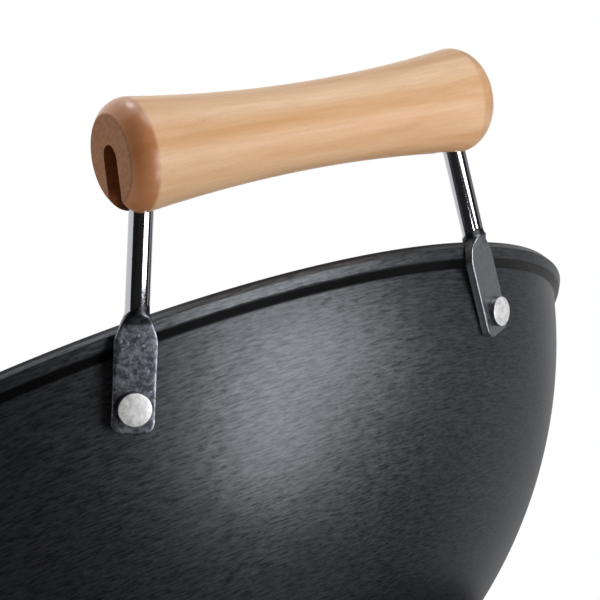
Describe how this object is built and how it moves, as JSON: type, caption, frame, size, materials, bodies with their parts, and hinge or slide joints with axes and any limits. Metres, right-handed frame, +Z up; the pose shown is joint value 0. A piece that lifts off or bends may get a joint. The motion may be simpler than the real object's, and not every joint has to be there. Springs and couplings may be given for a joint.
{
  "type": "electric wok",
  "caption": "Electric wok: a round-bottomed dark steel pan with wood-gripped loop handles, lifted off a round heating base with a temperature dial.",
  "frame": {"origin": "on the table, under the middle of the pan", "axes": "+Z up; +X towards the right handle; the temperature knob is at -Y and the power inlet at +Y"},
  "size_m": [0.4256, 0.36, 0.2556],
  "materials": {
    "seasoned_steel": "hairline-brushed black satin",
    "chromed_rod": "bright plated",
    "beech": "turned, lightly oiled",
    "rivet_steel": "satin",
    "housing_black": "fine-textured moulded phenolic",
    "stainless": "circular brushed",
    "tray_steel": "aluminised sheet",
    "cast_aluminium": "die cast, fine turned face",
    "element_sheath": "annealed sheath",
    "ceramic": "matt steatite",
    "zinc_plated": "zinc plated",
    "rubber": "matt",
    "panel_steel": "straight hairline",
    "white_print": "screen printed ink",
    "black_print": "screen printed ink",
    "knob_black": "moulded",
    "lamp_red": "clear amber red moulding",
    "switch_plastic": "moulded",
    "spring_steel": "drawn wire",
    "brass": "plated blades",
    "inlet_black": "moulded",
    "lead_brown": "silicone braid sleeve",
    "lead_blue": "silicone braid sleeve",
    "lead_green": "silicone braid sleeve",
    "lead_white": "silicone braid sleeve"
  },
  "bodies": {
    "base": {"base_housing": "housing_black", "bottom_cover": "tray_steel", "rubber_feet": "rubber", "foot_screws": "zinc_plated", "support_tray": "tray_steel", "tray_screws": "zinc_plated", "trim_ring": "stainless", "heating_plate": "cast_aluminium", "heating_element": "element_sheath", "element_bushes": "ceramic", "element_terminals": "zinc_plated", "element_clips": "tray_steel", "clip_screws": "zinc_plated", "bulb_clip": "tray_steel", "plate_spacers": "zinc_plated", "plate_screws": "zinc_plated", "sensor_guide": "zinc_plated", "control_panel": "panel_steel", "dial_marks": "black_print", "thermostat_body": "switch_plastic", "thermostat_screws": "zinc_plated", "thermostat_bulb": "brass", "pilot_lamp_lens": "lamp_red", "pilot_lamp_holder": "switch_plastic", "inlet_socket": "inlet_black", "inlet_pins": "brass", "inlet_screws": "zinc_plated", "inlet_nuts": "zinc_plated", "wiring_live": "lead_brown", "thermal_fuse": "ceramic", "wiring_neutral": "lead_blue", "earth_tag": "brass", "earth_screw": "brass", "wiring_earth": "lead_green", "wiring_lamp": "lead_white"},
    "pan": {"wok_pan": "seasoned_steel", "handle_rod_right": "chromed_rod", "handle_rod_left": "chromed_rod", "handle_grip_right": "beech", "handle_grip_left": "beech", "handle_rivets_right": "rivet_steel", "handle_rivets_left": "rivet_steel"},
    "knob": {"temperature_knob": "knob_black", "knob_pointer": "white_print", "thermostat_shaft": "zinc_plated"},
    "sensor": {"sensor_cup": "cast_aluminium", "sensor_disc": "ceramic", "sensor_stop": "spring_steel", "sensor_spring": "spring_steel"}
  },
  "joints": [
    {"name": "pan_lift", "type": "slide", "parent": "base", "child": "pan", "axis": [0, 0, 1], "range_m": [0, 0.15]},
    {"name": "knob_turn", "type": "hinge", "parent": "base", "child": "knob", "pos_m": [0, -0.138, 0.044], "axis": [0, 1, 0], "range_deg": [0, 270]},
    {"name": "sensor_press", "type": "slide", "parent": "base", "child": "sensor", "axis": [0, 0, 1], "range_m": [-0.003, 0], "stiffness_N_per_m": 800, "springref_m": 0.003, "deforming": ["sensor_spring"]}
  ]
}
